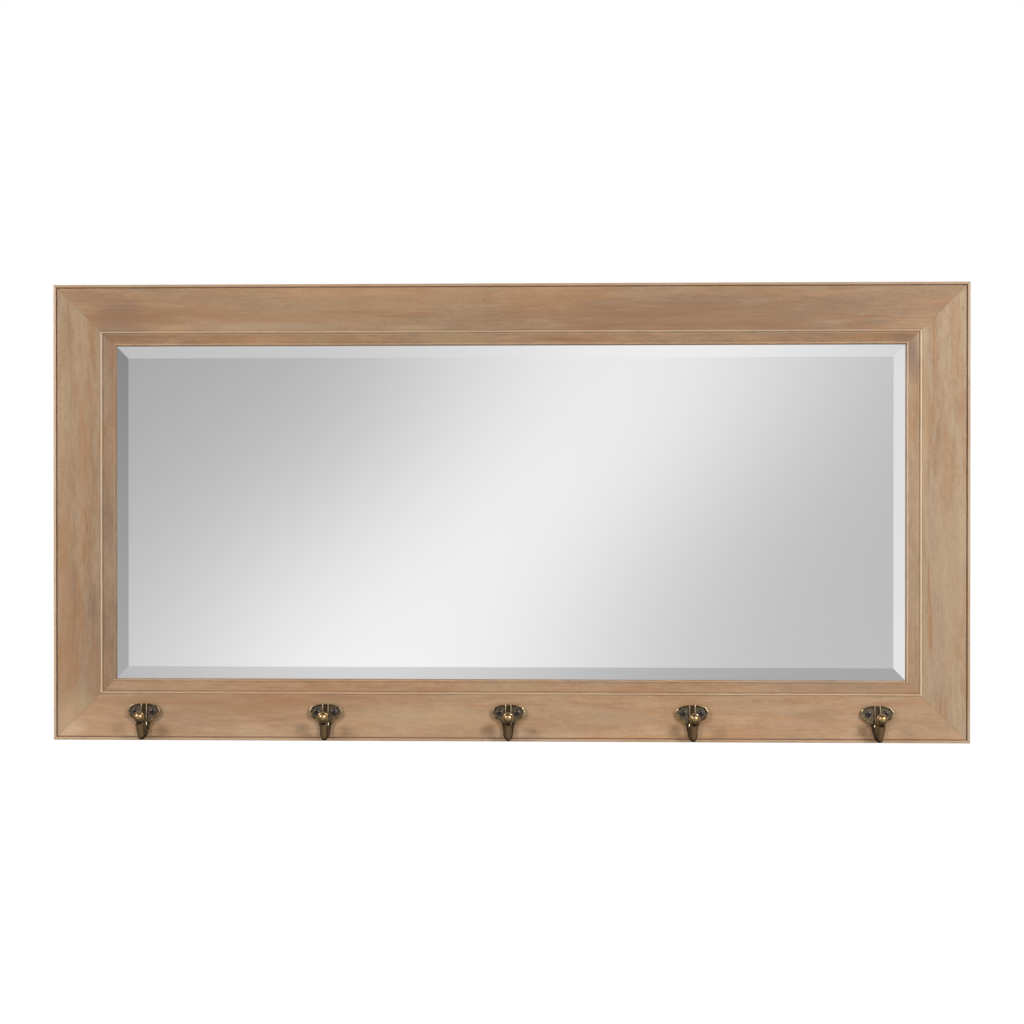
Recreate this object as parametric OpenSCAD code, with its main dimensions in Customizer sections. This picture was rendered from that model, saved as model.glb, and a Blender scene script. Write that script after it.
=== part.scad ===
// Wall mirror with a mitred wooden frame and a row of cast coat hooks.
// Millimetres. X runs along the frame, +Z is up and the front faces -Y.
// The wall is the plane y = 0, and the origin is the middle of the top rail's back face.

/* [Frame] */
// Overall width of the frame
frame_w = 914; // [860:1:1300]
// Overall height of the frame
frame_h = 457; // [320:1:900]
// Depth of the moulding from the wall to the crest of its lip
frame_depth = 28; // [25:0.5:40]
// Width of the moulding from the outer edge to the sight edge
rail_w = 60; // [54:0.5:90]

/* [Moulding] */
// Width of the raised lip round the outer edge
lip_w = 2.6; // [2:0.1:5]
// Width of the groove inside the lip
groove_w = 1.2; // [0.8:0.1:2.5]
// Depth of that groove below the lip
groove_depth = 2.8; // [1.5:0.1:4]
// How far the outer edge of the wide face lies below the lip
face_drop = 0.5; // [0.2:0.1:1.5]
// How far the wide face is hollowed out below a straight line
cove_sag = 0.9; // [0.3:0.1:2]
// Radius of the bead inside the wide face
bead_r = 1.3; // [0.8:0.1:2.5]
// How far the crest of the bead lies below the lip
bead_drop = 4; // [3:0.1:6]
// Width of the inner slope from the middle of the bead to the sight edge
slope_w = 12.6; // [9:0.1:20]
// How far the sight edge lies below the lip
sight_drop = 12; // [9:0.1:14]
// Radius of the nosing at the sight edge
nosing_r = 0.9; // [0.5:0.1:1.6]
// Thickness of wood between the sight edge and the rabbet
rabbet_lip = 2; // [1.5:0.1:6]
// Width of the rabbet that holds the glass
rabbet_w = 7; // [5:0.1:12]

/* [Glass] */
// Thickness of the mirror glass
glass_t = 4.7; // [3.5:0.1:6]
// Thickness that the bevel leaves at the edge of the glass
glass_edge_t = 2.2; // [1.5:0.1:3]
// Width of the ground bevel
bevel_w = 19; // [12:0.5:32]
// Gap between the edge of the glass and the rabbet
glass_gap = 1; // [0.5:0.1:2]
// Thickness of the backing board
board_t = 3; // [2:0.1:4]

/* [Hooks] */
// Spacing of the hooks
hook_pitch = 183; // [120:1:200]
// Height of the hook screws above the lower edge of the frame
hook_line = 28.7; // [27:0.1:34]
// Distance between the two screws of a hook
hole_gap = 17.4; // [16:0.1:22]
// Radius of the round lobe about each screw
lobe_r = 7.3; // [6.5:0.1:7.7]
// Height of the plate above the screws
plate_top = 7.9; // [7.6:0.1:11]
// Width of the plate where it turns into the arm
stem_w = 10.2; // [8.5:0.1:12]
// Distance from the screws down to that place
stem_drop = 18; // [16:0.1:20]
// Distance from the screws down to the bottom of the bend
hook_drop = 28.4; // [26:0.1:34]
// Thickness of the plate at its recessed field
field_t = 2.2; // [1.6:0.1:3]
// Thickness of the plate at its rim
rim_t = 3.5; // [2.8:0.1:4.5]
// Width of the rim
rim_w = 1.5; // [1:0.1:2.5]
// Radius of the bend to the middle of the arm
bend_r = 5; // [4:0.1:8]
// Width of the arm at the bottom of the bend
bend_w = 5.4; // [4:0.1:8]
// Width of the raised end of the arm under its neck
tip_w = 8.4; // [7:0.1:11]
// Thickness of the arm
arm_t = 4; // [3.2:0.1:5]
// How far the raised end leans out from upright, in degrees
lean = 30; // [15:1:40]
// Length of the straight raised end up to the middle of the ball
rise_len = 21.4; // [18:0.1:28]
// Diameter of the ball
ball_d = 11; // [9:0.1:14]

/* [Screws] */
// Shank diameter of the wood screws
shank_d = 3.2; // [2.5:0.1:4]
// Head diameter of the wood screws
head_d = 6.6; // [5.5:0.1:7.5]
// Height of the domed heads
head_h = 1.9; // [1.5:0.1:2.5]
// How deep the screws go into the wood
screw_grip = 13; // [8:0.5:16]

/* [Hangers] */
// Distance from the top of the frame down to the hinge of each ring
hanger_drop = 110; // [90:1:200]
// Width of the hanger strap
strap_w = 12.5; // [9:0.1:16]
// Thickness of the strip that the strap is folded from
strip_t = 1; // [0.8:0.1:1.5]
// Distance from the hinge down to the hanger screw
strap_hole = 20; // [18:0.5:30]
// Diameter of the ring's wire
wire_d = 2.8; // [2:0.1:3.5]
// Clear width inside the ring
ring_w = 16; // [14:0.1:24]
// Length of the ring's straight sides
ring_side = 4; // [2:0.1:8]
// Outside radius of the bumpers
bumper_r = 5.5; // [4:0.1:8]
// Height of the bumpers
bumper_h = 3; // [2:0.1:5]
// Distance from the side of the frame in to the middle of each bumper
bumper_in = 80; // [70:1:200]

/* [Fasteners in the frame] */
// Length of a glazing tab
tab_len = 13; // [11:0.5:16]
// Width of a glazing tab
tab_w = 8; // [5:0.5:12]
// Thickness of a glazing tab
tab_t = 0.5; // [0.4:0.1:1]
// How deep a glazing tab is driven into the wood
tab_grip = 5; // [4:0.5:8]
// Height of the V-shaped corner nails
nail_h = 8; // [5:0.5:10]
// Length of each leg of a corner nail
nail_leg = 5; // [4:0.5:7]
// Thickness of a corner nail
nail_t = 0.6; // [0.4:0.1:1]

/* [Hidden] */
// The nodes above are named for this many hooks
hook_count = 5;

$fn = 48;
// Clearance of a driven piece in the wood
snug = 0.05;
// Clearance between pieces that lie on each other
lie = 0.1;
// Clearance of a screw in a metal plate
screw_play = 0.15;
// Running clearance of a ring's bar in its barrel
run = 0.08;
// Over-cut that keeps faces from meeting in a cut
eps = 0.5;
wood = [0.66, 0.53, 0.42];
silver = [0.80, 0.83, 0.84];
hardboard = [0.45, 0.34, 0.24];
bronze = [0.40, 0.32, 0.21];
steel = [0.72, 0.72, 0.70];
rubber = [0.15, 0.14, 0.13];

// The moulding, as distances u from the outer edge and v from the wall
face_u = lip_w + groove_w;
bead_u = rail_w - slope_w;
bead_v = frame_depth - bead_drop - bead_r;
sight_v = frame_depth - sight_drop;
rabbet_v = sight_v - rabbet_lip;
back_w = rail_w - rabbet_w;
// Rounded corners of the lip, outside and inside, and of the face's outer edge
lip_round = 0.7;
lip_inner_round = 0.5;
face_round = 0.4;
// Depth and width of the quirk inside the bead, and how far its floor falls away
quirk = 0.5;
quirk_fall = 0.2;
// Angles at which the bead and the nosing rise out of the wood beside them
bead_start = 165;
nosing_start = 140;

// The frame's centre, with the origin in the middle of the top rail's back face
centre_z = back_w / 2 - frame_h / 2;
bottom_z = centre_z - frame_h / 2;

// The glass lies with its bevel under the sight edge
cover = rabbet_w - glass_gap;
glass_w = frame_w - 2 * rail_w + 2 * cover;
glass_h = frame_h - 2 * rail_w + 2 * cover;
bevel_rise = glass_t - glass_edge_t;
glass_back_v = rabbet_v - lie - glass_edge_t - bevel_rise * cover / bevel_w;
board_back_v = glass_back_v - lie / 2 - board_t;
tab_v = board_back_v - lie / 2 - tab_t;

// The wide face is a shallow hollow between the groove and the bead
face_steps = 11;
face_end = bead_u - bead_r;
face_top_v = frame_depth - face_drop;
face_low_v = bead_v + quirk_fall;
function face_v(u) = let (t = (u - face_u) / (face_end - face_u))
    face_top_v + (face_low_v - face_top_v) * t - 4 * cove_sag * t * (1 - t);

// The hook plates bridge the hollow from the lower end to the top of the plate
stem_end = 2;
seat_low = hook_line - stem_drop - stem_end;
seat_high = hook_line + plate_top;
hook_tilt = atan((face_v(seat_low) - face_v(seat_high)) / (seat_high - seat_low));
hook_seat_v = face_v(seat_low) - (hook_line - seat_low) * tan(hook_tilt) + lie;
hook_z = bottom_z + hook_line;

// Glazing tabs on a long and on a short side, and the places of the corner nails along the mitre
// as shares of the back's width
long_tabs = 5;
short_tabs = 3;
nail_places = [0.25, 0.68];

// Outline of the hook plate: a flat top arc, two lobes and two hollow flanks, all tangent
lobe_shift = 0.2;
lobe_x = hole_gap / 2 + lobe_shift;
lobe_z = -lobe_shift;
top_rise = plate_top - lobe_z;
top_r = (pow(lobe_x, 2) + pow(top_rise, 2) - pow(lobe_r, 2)) / (2 * (top_rise - lobe_r));
top_z = plate_top - top_r;
flank_dx = stem_w / 2 - lobe_x;
flank_dz = -stem_drop - lobe_z;
flank_r = (pow(flank_dx, 2) + pow(flank_dz, 2) - pow(lobe_r, 2)) / (2 * (lobe_r - flank_dx));
flank_x = stem_w / 2 + flank_r;
// Angle left out of an arc beside the point where it touches the arc before it
skip = 8;

// The two reeds of the strap, at its top and at the lower end of the plate
reed_r = 0.6;
reed_x = 2.8;
reed_low_x = 3.5;
// How far above the lower end of the plate the reeds stop
reed_stop = 5;
// How far the strap keeps inside the outline of the plate
strap_inset = 0.3;

// The arm, as distances forward from the plate's back and up from the screws
arm_gap = 0.2;
arm_in = arm_t / 2 + field_t + arm_gap;
bend_y = arm_in + bend_r;
bend_z = hook_drop - arm_t / 2 - bend_r;
bend_end = 360 - lean;
// Where the arm begins to leave the strap, as a share of the way down to the bend
arm_start = 0.2;
leave_steps = 6;
bend_steps = 13;
rise_steps = 5;
// The neck under the ball, between the shoulder of the arm and a place inside the ball
neck_r = 2.9;
neck_gap = 2.6;
ball_sink = 2;
shoulder = rise_len - ball_d / 2 - neck_gap;
neck_len = neck_gap + ball_sink;
// Stations of the neck: distance past the shoulder, and share of the way back to the arm's width
neck_shape = [[0.8, 0.6], [1.5, 0], [neck_len, 0]];
// Length from the bottom of the bend over which the arm widens again
widen_len = bend_r * (bend_end - 270) * PI / 180 + shoulder;
// Ridge along the outside of the arm, as a share of its half thickness, and where in the bend it grows
keel = 0.25;
keel_start = 250;
keel_turn = 60;
// Hollow along the inside of the arm, as shares of its half thickness and half width
channel = 0.35;
channel_w = 0.5;
// Stations before the end of the arm over which the hollow runs out
channel_out = 8;
channel_fade = 5;
ring_points = 16;

// The hanger strap is one strip folded round the ring's bar
bar_r = wire_d / 2;
barrel_in = bar_r + run;
barrel_out = barrel_in + strip_t;
bar_y = barrel_out;
ring_half = ring_w / 2 + bar_r;
ring_corner = 3;
corner_r = min(ring_corner, ring_half - strap_w / 2);
ring_reach = ring_side + ring_half;
ring_tilt = asin((2 * strip_t + bar_r + 3 * lie - bar_y) / (ring_reach - bar_r));
hanger_x = frame_w / 2 - back_w / 2;
hanger_z = centre_z + frame_h / 2 - hanger_drop;

// Screw heads: straight rim as a share of the head's height, and size of the cross recess
head_rim = 0.35;
cross_len = 0.55 * head_d;
cross_w = 0.8;
cross_deep = 0.55 * head_h;
// Blunt point of the screws
point_r = 0.15 * shank_d;
point_round = 0.2;

// Bumpers: height of the straight side and draw-in of the dome, as shares of their height
bumper_side = 0.6;
bumper_draw = 0.25;

function arc(c, r, a0, a1, n) =
    [for (i = [0:n]) let (a = a0 + (a1 - a0) * i / n) c + r * [cos(a), sin(a)]];
function ease(t) = (1 - cos(180 * min(max(t, 0), 1))) / 2;
function mix(a, b, t) = a + (b - a) * ease(t);
function flip(points) = [for (i = [len(points) - 1:-1:0]) [-points[i][0], points[i][1]]];

// ---------- wooden frame ----------

// Section of the moulding, from the back outer corner over the front to the rabbet
function moulding() = concat(
    [[0, 0]],
    arc([lip_round, frame_depth - lip_round], lip_round, 180, 90, 4),
    arc([lip_w - lip_inner_round, frame_depth - lip_inner_round], lip_inner_round, 90, 0, 3),
    [[lip_w, frame_depth - groove_depth], [face_u, frame_depth - groove_depth]],
    arc([face_u + face_round, face_v(face_u + face_round) - face_round], face_round, 180, 90, 3),
    [for (i = [1:face_steps]) let (u = face_u + (face_end - face_u) * i / face_steps) [u, face_v(u)]],
    arc([bead_u, bead_v], bead_r, bead_start, 0, 9),
    [[bead_u + bead_r, bead_v - quirk - 2 * quirk_fall],
        [bead_u + bead_r + quirk, bead_v - quirk - quirk_fall],
        [rail_w - 2 * nosing_r - quirk_fall, sight_v + nosing_r - 2 * quirk_fall]],
    arc([rail_w - nosing_r, sight_v], nosing_r, nosing_start, 0, 6),
    [[rail_w, rabbet_v], [back_w, rabbet_v], [back_w, 0]]);

// One side of the frame, mitred at both ends, lying along X with its outer edge at y = 0
module moulded_side(len) {
    intersection() {
        rotate([90, 0, 90]) linear_extrude(len + 2 * eps, center = true) polygon(moulding());
        translate([0, 0, -eps]) linear_extrude(frame_depth + 2 * eps)
            polygon([[-len / 2, 0], [len / 2, 0], [len / 2 - rail_w, rail_w],
                [rail_w - len / 2, rail_w]]);
    }
}

// The side whose outward direction is turned from straight down by an angle about Y
module frame_side(turn, len, reach) {
    translate([0, 0, centre_z]) rotate([0, turn, 0]) translate([0, 0, -reach])
        rotate([90, 0, 0]) moulded_side(len);
}

module top_rail() {
    color(wood) difference() {
        frame_side(180, frame_w, frame_h / 2);
        tab_row(180, long_tabs, snug);
        all_corner_nails(snug);
    }
}

module bottom_rail() {
    color(wood) difference() {
        frame_side(0, frame_w, frame_h / 2);
        tab_row(0, long_tabs, snug);
        all_corner_nails(snug);
        for (i = [1:hook_count]) at_hook(i) screw_pair() pilot();
    }
}

module stile(turn, side) {
    color(wood) difference() {
        frame_side(turn, frame_h, frame_w / 2);
        tab_row(turn, short_tabs, snug);
        all_corner_nails(snug);
        at_hanger(side) translate([0, 0, -strap_hole]) rotate([0, 0, 180]) pilot();
    }
}

module left_stile() { stile(90, -1); }
module right_stile() { stile(270, 1); }

// ---------- glass and backing ----------

// A pane seen from its end, with its bevels
function pane_section(w) = [[-w / 2, 0], [w / 2, 0], [w / 2, glass_edge_t],
    [w / 2 - bevel_w, glass_t], [bevel_w - w / 2, glass_t], [-w / 2, glass_edge_t]];

module mirror_glass() {
    color(silver) translate([0, -glass_back_v, centre_z]) rotate([90, 0, 0])
        intersection() {
            rotate([90, 0, 0]) linear_extrude(glass_h, center = true)
                polygon(pane_section(glass_w));
            rotate([90, 0, 90]) linear_extrude(glass_w, center = true)
                polygon(pane_section(glass_h));
        }
}

module backing_board() {
    color(hardboard) translate([-glass_w / 2, -board_back_v - board_t,
        centre_z - glass_h / 2]) cube([glass_w, board_t, glass_h]);
}

// Tabs driven into the wall of the rabbet on one side, lying on the board
module tab_row(turn, count, grow) {
    len = (turn == 0 || turn == 180) ? glass_w : glass_h;
    reach = (turn == 0 || turn == 180) ? frame_h / 2 : frame_w / 2;
    pitch = len / count;
    translate([0, 0, centre_z]) rotate([0, turn, 0])
        for (i = [0:count - 1])
            translate([(i - (count - 1) / 2) * pitch - tab_w / 2 - grow,
                -tab_v - tab_t - grow, -reach + back_w - tab_grip - grow])
                cube([tab_w + 2 * grow, tab_t + 2 * grow, tab_len + 2 * grow]);
}

module glazing_tabs() {
    color(steel) {
        for (turn = [0, 180]) tab_row(turn, long_tabs, 0);
        for (turn = [90, 270]) tab_row(turn, short_tabs, 0);
    }
}

// A V-shaped nail seen from the back, its point on the mitre and its legs in the two sides
function vee(grow) = let (l = nail_leg + grow, t = nail_t / 2 + grow, k = sqrt(2) * t)
    [[0, -k], [l + t, l - k + t], [l - t, l + t], [0, k], [t - l, l + t], [-l - t, l - k + t]];

module all_corner_nails(grow) {
    for (sx = [-1, 1], sz = [-1, 1], u = nail_places * back_w)
        translate([sx * (frame_w / 2 - u), 0, centre_z + sz * (frame_h / 2 - u)])
            rotate([90, 0, 0]) translate([0, 0, snug - grow])
                linear_extrude(nail_h + 2 * grow)
                    rotate(atan2(-sz, -sx) - 90) polygon(vee(grow));
}

module corner_nails() { color(steel) all_corner_nails(0); }

// ---------- screws ----------

// Places a hook with its back on the moulding: x across, -y out of the face, z up the face
module at_hook(i) {
    translate([(i - (hook_count + 1) / 2) * hook_pitch, -hook_seat_v, hook_z])
        rotate([-hook_tilt, 0, 0]) children();
}

module screw_pair() {
    for (s = [-1, 1]) translate([s * hole_gap / 2, 0, 0]) children();
}

// Hole for a screw that points along +Y from a face at y = 0
module pilot() {
    rotate([-90, 0, 0]) translate([0, 0, -eps])
        cylinder(r = shank_d / 2 + snug, h = screw_grip + eps + snug);
}

// Domed screw with a cross recess: the head sits at -y on a face that is seat_t in front of the wood
module wood_screw(seat_t) {
    dome = [for (a = [0:15:90]) [head_d / 2 * cos(a),
        seat_t + head_h * (head_rim + (1 - head_rim) * sin(a))]];
    rotate([90, 0, 0]) difference() {
        rotate_extrude() polygon(concat(
            [[0, -screw_grip], [point_r, -screw_grip + point_round],
                [shank_d / 2, -screw_grip + shank_d], [shank_d / 2, seat_t + lie / 2],
                [head_d / 2, seat_t + lie / 2]], dome));
        for (a = [0, 90]) rotate(a) translate([0, 0, seat_t + head_h])
            cube([cross_len, cross_w, 2 * cross_deep], center = true);
    }
}

module hook_screws(i) {
    color(bronze) at_hook(i) screw_pair() wood_screw(field_t);
}

module hanger_screws() {
    color(steel) for (side = [-1, 1]) at_hanger(side) translate([0, 0, -strap_hole])
        rotate([0, 0, 180]) wood_screw(2 * strip_t + lie);
}

// ---------- hooks ----------

// Outline of the plate, drawn in by an inset
function half_plate(inset) = let (
        a_top = atan2(lobe_z - top_z, lobe_x),
        a_flank = atan2(-stem_drop - lobe_z, flank_x - lobe_x))
    concat(
        arc([0, top_z], top_r - inset, 90, a_top, 6),
        arc([lobe_x, lobe_z], lobe_r - inset, a_top - skip, a_flank, 12),
        arc([flank_x, -stem_drop], flank_r + inset, 180 + a_flank + skip, 180, 6),
        [for (a = [18:18:72]) [(stem_w / 2 - inset) * cos(a), -stem_drop - stem_end * sin(a)]]);
function plate_outline(inset) = let (half = half_plate(inset), n = len(half))
    concat(half, flip([for (i = [1:n - 1]) half[i]]));

module plate_slab(inset, low, high) {
    rotate([90, 0, 0]) translate([0, 0, low]) linear_extrude(high - low)
        polygon(plate_outline(inset));
}

// Half width of the arm at a length past the bottom of the bend
function front_half(s) = (bend_w + (tip_w - bend_w) * s / widen_len) / 2;

// Stations along the middle of the arm: [forward, up, normal forward, normal up, half width,
// half thickness, keel]
function arm_stations() = let (
        foot = [bend_y, -bend_z],
        top = foot + bend_r * [cos(lean), -sin(lean)],
        along = [sin(lean), cos(lean)]) concat(
    [for (i = [0:leave_steps - 1]) let (t = i / leave_steps, down = arm_start + (1 - arm_start) * t)
        [mix(rim_t / 2, arm_in, t), -bend_z * down, 1, 0,
            reed_x + (stem_w / 2 - reed_x) * down, mix(rim_t / 2, arm_t / 2, t), 0]],
    [for (i = [0:bend_steps]) let (a = 180 + (bend_end - 180) * i / bend_steps,
            p = foot + bend_r * [cos(a), sin(a)])
        [p[0], p[1], -cos(a), -sin(a),
            a < 270 ? mix(stem_w / 2, bend_w / 2, (a - 180) / 90)
                    : front_half(bend_r * (a - 270) * PI / 180),
            arm_t / 2, keel * ease((a - keel_start) / keel_turn)]],
    [for (i = [1:rise_steps]) let (s = shoulder * i / rise_steps, p = top + s * along)
        [p[0], p[1], -cos(lean), sin(lean), front_half(widen_len - shoulder + s), arm_t / 2, keel]],
    [for (n = neck_shape) let (p = top + (shoulder + n[0]) * along)
        [p[0], p[1], -cos(lean), sin(lean), neck_r + n[1] * (tip_w / 2 - neck_r),
            neck_r + n[1] * (arm_t / 2 - neck_r), keel * n[1]]]);

// How far the skin of the arm lies from its middle: channelled inside the bend, keeled outside
function arm_skin(a, thick, ridge, hollow) = sin(a) >= 0
    ? thick * (sqrt(1 - pow(cos(a), 4)) - hollow * exp(-pow(cos(a) / channel_w, 2)))
    : thick * (sin(a) - ridge * pow(-sin(a), 6));

// Closed tube of rings through the stations
module arm() {
    rows = arm_stations();
    n = ring_points;
    m = len(rows);
    points = [for (i = [0:m - 1], j = [0:n - 1]) let (
            r = rows[i],
            a = 360 * j / n,
            hollow = channel * (1 - ease((i - m + channel_out) / channel_fade)),
            d = arm_skin(a, r[5], r[6], hollow))
        [r[4] * cos(a), -(r[0] + d * r[2]), r[1] + d * r[3]]];
    sides = [for (i = [0:m - 2], j = [0:n - 1], k = [0, 1]) let (
            p = i * n + j, q = i * n + (j + 1) % n)
        k == 0 ? [p, q + n, q] : [p, p + n, q + n]];
    polyhedron(points,
        concat(sides, [[for (j = [0:n - 1]) j]], [[for (j = [n - 1:-1:0]) (m - 1) * n + j]]));
}

// Ball at the end of the arm, turned so that its seam meets no edge of the neck
module ball_end() {
    translate([0, -(bend_y + bend_r * cos(lean)), -bend_z - bend_r * sin(lean)])
        rotate([lean, 0, 0]) translate([0, 0, rise_len]) rotate(180 / ring_points)
            sphere(d = ball_d);
}

// Strap down the middle of the plate, with a reed along each edge, widening towards the stem
module strap_on_plate() {
    long = stem_drop + plate_top;
    spread = atan((reed_low_x - reed_x) / long);
    rotate([90, 0, 0]) linear_extrude(rim_t) polygon([[-reed_x, plate_top], [reed_x, plate_top],
        [reed_low_x, -stem_drop], [-reed_low_x, -stem_drop]]);
    for (s = [-1, 1])
        translate([s * reed_x, -rim_t, plate_top]) rotate([180, s * spread, 0])
            cylinder(r = reed_r, h = long - reed_stop);
}

module hook_body() {
    difference() {
        union() {
            difference() {
                plate_slab(0, 0, rim_t);
                plate_slab(rim_w, field_t, rim_t + eps);
            }
            intersection() {
                plate_slab(strap_inset, 0, rim_t + 2 * reed_r);
                strap_on_plate();
            }
            arm();
            ball_end();
        }
        screw_pair() rotate([90, 0, 0]) translate([0, 0, -eps])
            cylinder(r = shank_d / 2 + screw_play, h = field_t + 2 * eps);
    }
}

module hook(i) { color(bronze) at_hook(i) hook_body(); }

// ---------- hangers and bumpers ----------

// Places a hanger with its hinge axis on z = 0 and the wood's back face at y = 0
module at_hanger(side) { translate([side * hanger_x, 0, hanger_z]) children(); }

module hanger_strap(side) {
    color(steel) at_hanger(side) difference() {
        union() {
            translate([0, bar_y, 0]) rotate([0, 90, 0])
                cylinder(r = barrel_out, h = strap_w, center = true);
            translate([-strap_w / 2, 0, -strap_hole]) cube([strap_w, 2 * strip_t, strap_hole]);
            translate([0, 0, -strap_hole]) rotate([-90, 0, 0])
                cylinder(d = strap_w, h = 2 * strip_t);
        }
        translate([0, bar_y, 0]) rotate([0, 90, 0])
            cylinder(r = barrel_in, h = strap_w + 2 * eps, center = true);
        translate([0, -eps, -strap_hole]) rotate([-90, 0, 0])
            cylinder(r = shank_d / 2 + screw_play, h = 2 * strip_t + 2 * eps);
    }
}

// D-shaped ring of round wire, hanging from its bar at z = 0
module ring_wire() {
    straight = ring_half - corner_r;
    rotate([0, 90, 0]) cylinder(r = bar_r, h = 2 * straight, center = true);
    for (s = [-1, 1]) {
        translate([s * straight, 0, -corner_r]) rotate([90, 0, 0]) rotate(s > 0 ? 0 : 90)
            rotate_extrude(angle = 90) translate([corner_r, 0]) circle(r = bar_r);
        translate([s * ring_half, 0, -ring_side]) cylinder(r = bar_r, h = ring_side - corner_r);
    }
    translate([0, 0, -ring_side]) rotate([90, 0, 0]) rotate(180)
        rotate_extrude(angle = 180) translate([ring_half, 0]) circle(r = bar_r);
}

module d_ring(side) {
    color(steel) at_hanger(side) translate([0, bar_y, 0]) rotate([ring_tilt, 0, 0]) ring_wire();
}

module wall_bumpers() {
    dome = [for (a = [0:15:90]) [bumper_r - bumper_draw * bumper_h * (1 - cos(a)),
        bumper_h * (bumper_side + (1 - bumper_side) * sin(a))]];
    color(rubber) for (side = [-1, 1])
        translate([side * (frame_w / 2 - bumper_in), 0, bottom_z + back_w / 2])
            rotate([-90, 0, 0]) rotate_extrude()
                polygon(concat([[0, 0], [bumper_r, 0]], dome, [[0, bumper_h]]));
}

top_rail();
bottom_rail();
left_stile();
right_stile();
mirror_glass();
backing_board();
glazing_tabs();
corner_nails();
for (i = [1:hook_count]) {
    hook(i);
    hook_screws(i);
}
hanger_strap(-1);  // left_hanger_strap
hanger_strap(1);  // right_hanger_strap
d_ring(-1);  // left_d_ring
d_ring(1);  // right_d_ring
hanger_screws();
wall_bumpers();
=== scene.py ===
"""Looks of a wall mirror with a washed wooden frame and five cast coat hooks.

Everything is in metres, in the frame of the packed model: X runs along the frame, +Z is up, the
front faces -Y and the back of the wooden frame lies in the plane y = 0.
"""

import math

import bmesh
import bpy
import numpy as np
from bpy.props import FloatProperty, FloatVectorProperty, IntProperty, PointerProperty
from mathutils import Matrix, Vector


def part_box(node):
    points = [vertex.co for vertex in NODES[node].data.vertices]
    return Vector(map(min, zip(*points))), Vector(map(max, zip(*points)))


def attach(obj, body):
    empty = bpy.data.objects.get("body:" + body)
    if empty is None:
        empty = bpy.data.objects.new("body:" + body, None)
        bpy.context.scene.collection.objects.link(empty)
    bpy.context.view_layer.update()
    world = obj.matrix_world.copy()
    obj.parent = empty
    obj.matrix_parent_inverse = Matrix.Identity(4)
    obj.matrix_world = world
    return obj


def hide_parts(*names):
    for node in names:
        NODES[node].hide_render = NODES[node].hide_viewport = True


bl_info = {
    "name": "Mirror with Hooks",
    "version": (1, 0, 0),
    "blender": (4, 5, 0),
    "location": "View3D > Sidebar > Mirror",
    "description": "Finishes and a small studio for a wall mirror with a row of cast coat hooks",
    "category": "Object",
}

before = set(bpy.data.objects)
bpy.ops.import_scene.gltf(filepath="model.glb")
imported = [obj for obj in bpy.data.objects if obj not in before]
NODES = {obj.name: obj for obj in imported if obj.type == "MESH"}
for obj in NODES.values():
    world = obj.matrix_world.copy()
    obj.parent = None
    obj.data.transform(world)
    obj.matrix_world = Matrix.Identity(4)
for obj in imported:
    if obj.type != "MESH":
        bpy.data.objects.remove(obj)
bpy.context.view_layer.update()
MM = 0.001

# the wooden frame's own corners, without the hooks in front and the hangers behind
FRAME_LOW = Vector((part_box("left_stile")[0].x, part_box("top_rail")[0].y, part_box("bottom_rail")[0].z))
FRAME_HIGH = Vector((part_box("right_stile")[1].x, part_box("top_rail")[1].y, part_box("top_rail")[1].z))
MIDDLE = (FRAME_LOW + FRAME_HIGH) / 2
HOOKS = sorted(name for name in NODES if name.startswith("hook_") and name[5:].isdigit())
FEWEST_FACES = 1000  # a casting with fewer has gone wrong
FILM_WIDTH = 36  # of the camera, in millimetres


def srgb(red, green, blue):
    """A colour as it is seen on a screen, 0 to 255, turned into the linear colour that nodes take."""
    return tuple(
        c / 12.92 if c <= 0.04045 else ((c + 0.055) / 1.055) ** 2.4
        for c in (red / 255, green / 255, blue / 255)
    )


# ---------- settings ----------


def number(name, description, default, **more):
    """A setting that is a number."""
    return FloatProperty(name=name, description=description, default=default, **more)


def length(name, description, default):
    """A length, in metres."""
    return number(name, description, default, unit="LENGTH", precision=4)


def angle(name, description, default):
    """An angle, in radians."""
    return number(name, description, default, subtype="ANGLE")


def watts(name, description, default):
    """The power of a lamp."""
    return number(name, description, default, unit="POWER", min=0)


def colour(name, description, default):
    """A colour, whose default is given as it is seen on a screen."""
    return FloatVectorProperty(
        name=name, description=description, default=srgb(*default), subtype="COLOR", min=0, max=1
    )


class MouldingSizes(bpy.types.PropertyGroup):
    """Where the parts of the moulding lie, from its outer edge inwards and from its back outwards"""

    lip: length("Lip", "Width of the raised lip", 2.6 * MM)
    groove: length("Groove", "Width of the groove inside the lip", 1.2 * MM)
    bead: length("Bead", "Distance from the outer edge to the middle of the bead", 47.4 * MM)
    bead_half: length("Bead half width", "Half the width of the bead", 1.3 * MM)
    sight: length("Sight edge", "Distance from the outer edge to the sight edge", 60 * MM)
    lip_rise: length("Lip height", "Height above the back at which the lip is rubbed", 27.2 * MM)
    groove_rise: length("Groove height", "Height above the back of the lowest stained line", 21 * MM)
    bead_rise: length("Bead height", "Height above the back at which the bead is rubbed", 23.2 * MM)
    sight_rise: length("Nosing height", "Height above the back at which the nosing is rubbed", 16.1 * MM)
    mitre: length("Mitre line", "Width of the line that shows at each mitre", 0.5 * MM)


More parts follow.
